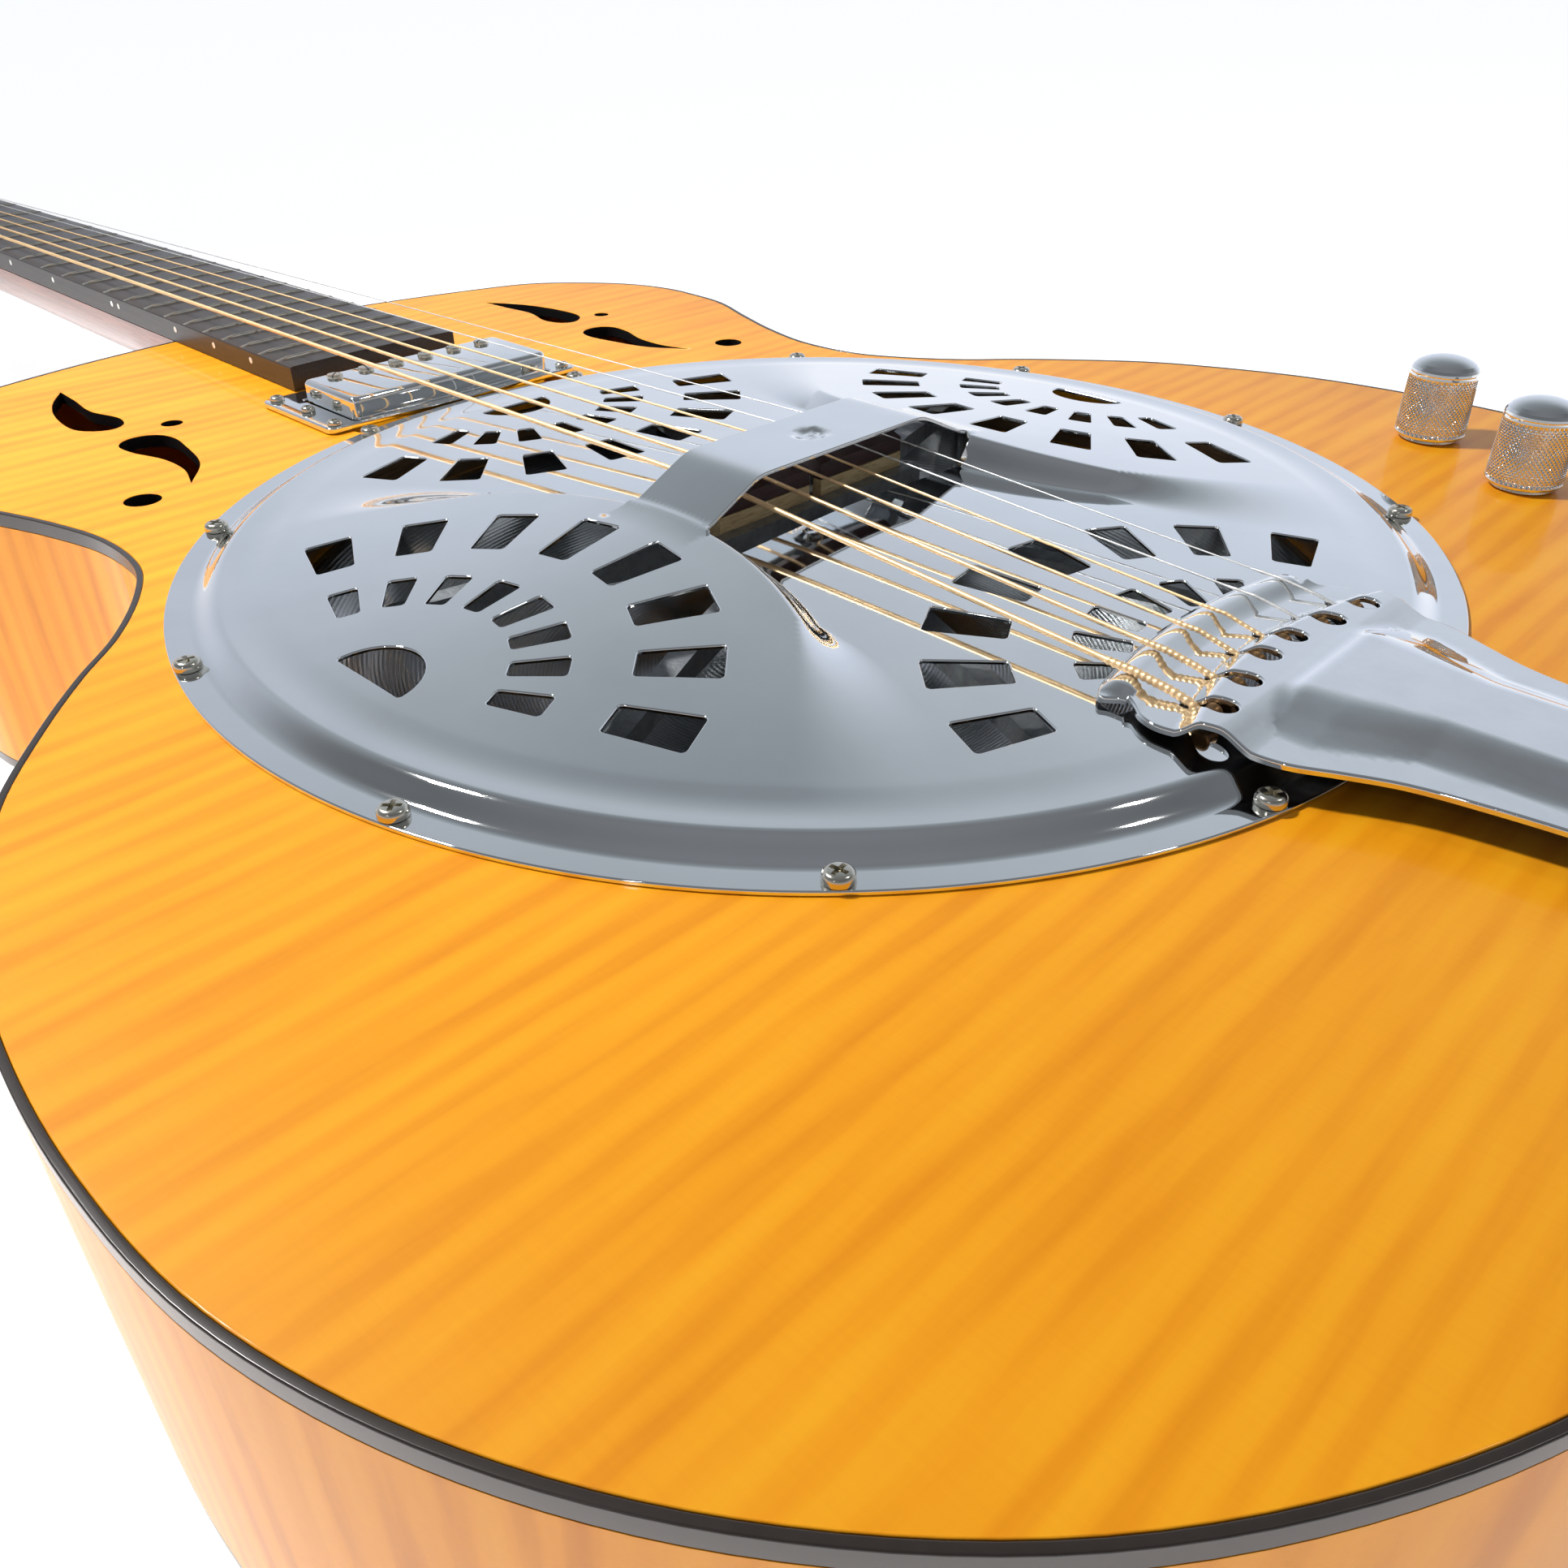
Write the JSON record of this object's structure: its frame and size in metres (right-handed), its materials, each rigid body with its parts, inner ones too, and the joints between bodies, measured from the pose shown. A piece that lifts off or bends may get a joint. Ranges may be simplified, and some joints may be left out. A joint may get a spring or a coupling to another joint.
{
  "type": "resonator guitar",
  "caption": "Steel-string resonator guitar on its back: amber flamed-maple body, slotted chrome cover plate with hand rest over a spun cone, neck pickup, chrome tailpiece and controls.",
  "frame": {"origin": "centre of the bounding box's bottom face; the guitar lies on its back plate", "axes": "+X along the strings towards the tailpiece, +Y towards the treble side, +Z out of the soundboard"},
  "size_m": [1.0576, 0.4044, 0.1045],
  "materials": {
    "maple_top": "gloss amber flamed maple",
    "maple_back": "gloss amber flamed maple",
    "inner_wood": "raw plywood and blocks",
    "raw_maple": "bare maple",
    "ebony": "dark, dull",
    "mahogany": "gloss red-brown",
    "rosewood": "oiled, open grain",
    "bone": "polished off-white",
    "black_plastic": "gloss black",
    "chrome_cover": "mirror chrome",
    "chrome_parts": "mirror chrome",
    "nickel_screw": "nickel plated",
    "nickel_tuner": "nickel plated",
    "spun_aluminium": "spun, fine rings",
    "cast_aluminium": "sand cast",
    "wound_string": "bronze winding",
    "plain_string": "plain steel wire",
    "steel": "zinc plated"
  },
  "bodies": {
    "body": {"soundboard": "maple_top", "back_plate": "maple_back", "sides": "maple_back", "tail_block": "inner_wood", "soundwell": "inner_wood", "resonator_cone": "spun_aluminium", "spider_bridge": "cast_aluminium", "spider_screw": "nickel_screw", "string_low_e": "wound_string", "string_a": "wound_string", "string_d": "wound_string", "string_g": "wound_string", "string_b": "plain_string", "string_high_e": "plain_string", "saddle_base_bass": "raw_maple", "saddle_base_treble": "raw_maple", "saddle_cap_bass": "ebony", "saddle_cap_treble": "ebony", "cover_plate": "chrome_cover", "neck": "mahogany", "fingerboard": "rosewood", "nut": "bone", "truss_rod_cover": "black_plastic", "pickup_ring": "chrome_parts", "pickup_cover": "chrome_parts", "pickup_core": "black_plastic", "tailpiece": "chrome_parts", "strap_button": "chrome_parts", "volume_pot": "steel", "tone_pot": "steel", "output_jack": "nickel_screw", "tuner_plate_bass": "nickel_tuner", "tuner_plate_treble": "nickel_tuner", "cover_screw_01": "nickel_screw", "cover_screw_02": "nickel_screw", "cover_screw_03": "nickel_screw", "cover_screw_04": "nickel_screw", "cover_screw_05": "nickel_screw", "cover_screw_06": "nickel_screw", "cover_screw_07": "nickel_screw", "cover_screw_08": "nickel_screw", "cover_screw_09": "nickel_screw", "cover_screw_10": "nickel_screw", "cover_screw_11": "nickel_screw", "cover_screw_12": "nickel_screw"},
    "post_low_e": {"tuner_post_low_e": "nickel_tuner"},
    "button_low_e": {"tuner_button_low_e": "nickel_tuner"},
    "post_a": {"tuner_post_a": "nickel_tuner"},
    "button_a": {"tuner_button_a": "nickel_tuner"},
    "post_d": {"tuner_post_d": "nickel_tuner"},
    "button_d": {"tuner_button_d": "nickel_tuner"},
    "post_g": {"tuner_post_g": "nickel_tuner"},
    "button_g": {"tuner_button_g": "nickel_tuner"},
    "post_b": {"tuner_post_b": "nickel_tuner"},
    "button_b": {"tuner_button_b": "nickel_tuner"},
    "post_high_e": {"tuner_post_high_e": "nickel_tuner"},
    "button_high_e": {"tuner_button_high_e": "nickel_tuner"},
    "volume_knob": {"volume_knob": "chrome_parts"},
    "tone_knob": {"tone_knob": "chrome_parts"}
  },
  "joints": [
    {"name": "button_low_e_turn", "type": "hinge", "parent": "body", "child": "button_low_e", "pos_m": [-0.37782, -0.024, 0.0541], "axis": [0, -1, 0], "continuous": true},
    {"name": "post_low_e_turn", "type": "hinge", "parent": "body", "child": "post_low_e", "pos_m": [-0.38737, -0.024, 0.05729], "axis": [-0.2419, 0, 0.9703], "continuous": true},
    {"name": "button_a_turn", "type": "hinge", "parent": "body", "child": "button_a", "pos_m": [-0.41857, -0.0265, 0.04394], "axis": [0, -1, 0], "continuous": true},
    {"name": "post_a_turn", "type": "hinge", "parent": "body", "child": "post_a", "pos_m": [-0.42813, -0.0265, 0.04712], "axis": [-0.2419, 0, 0.9703], "continuous": true},
    {"name": "button_d_turn", "type": "hinge", "parent": "body", "child": "button_d", "pos_m": [-0.45932, -0.029, 0.03378], "axis": [0, -1, 0], "continuous": true},
    {"name": "post_d_turn", "type": "hinge", "parent": "body", "child": "post_d", "pos_m": [-0.46888, -0.029, 0.03696], "axis": [-0.2419, 0, 0.9703], "continuous": true},
    {"name": "button_g_turn", "type": "hinge", "parent": "body", "child": "button_g", "pos_m": [-0.47582, 0.029, 0.02967], "axis": [0, 1, 0], "continuous": true},
    {"name": "post_g_turn", "type": "hinge", "parent": "body", "child": "post_g", "pos_m": [-0.46888, 0.029, 0.03696], "axis": [-0.2419, 0, 0.9703], "continuous": true},
    {"name": "button_b_turn", "type": "hinge", "parent": "body", "child": "button_b", "pos_m": [-0.43507, 0.0265, 0.03983], "axis": [0, 1, 0], "continuous": true},
    {"name": "post_b_turn", "type": "hinge", "parent": "body", "child": "post_b", "pos_m": [-0.42813, 0.0265, 0.04712], "axis": [-0.2419, 0, 0.9703], "continuous": true},
    {"name": "button_high_e_turn", "type": "hinge", "parent": "body", "child": "button_high_e", "pos_m": [-0.39432, 0.024, 0.04999], "axis": [0, 1, 0], "continuous": true},
    {"name": "post_high_e_turn", "type": "hinge", "parent": "body", "child": "post_high_e", "pos_m": [-0.38737, 0.024, 0.05729], "axis": [-0.2419, 0, 0.9703], "continuous": true},
    {"name": "volume_knob_turn", "type": "hinge", "parent": "body", "child": "volume_knob", "pos_m": [0.3651, 0.1625, 0.0832], "axis": [0, 0, 1], "range_deg": [-150, 150]},
    {"name": "tone_knob_turn", "type": "hinge", "parent": "body", "child": "tone_knob", "pos_m": [0.3971, 0.141, 0.0832], "axis": [0, 0, 1], "range_deg": [-150, 150]}
  ],
  "couplings": [
    {"joint": "post_low_e_turn", "follows": "button_low_e_turn", "ratio": 0.071429},
    {"joint": "post_a_turn", "follows": "button_a_turn", "ratio": 0.071429},
    {"joint": "post_d_turn", "follows": "button_d_turn", "ratio": 0.071429},
    {"joint": "post_g_turn", "follows": "button_g_turn", "ratio": 0.071429},
    {"joint": "post_b_turn", "follows": "button_b_turn", "ratio": 0.071429},
    {"joint": "post_high_e_turn", "follows": "button_high_e_turn", "ratio": 0.071429}
  ]
}
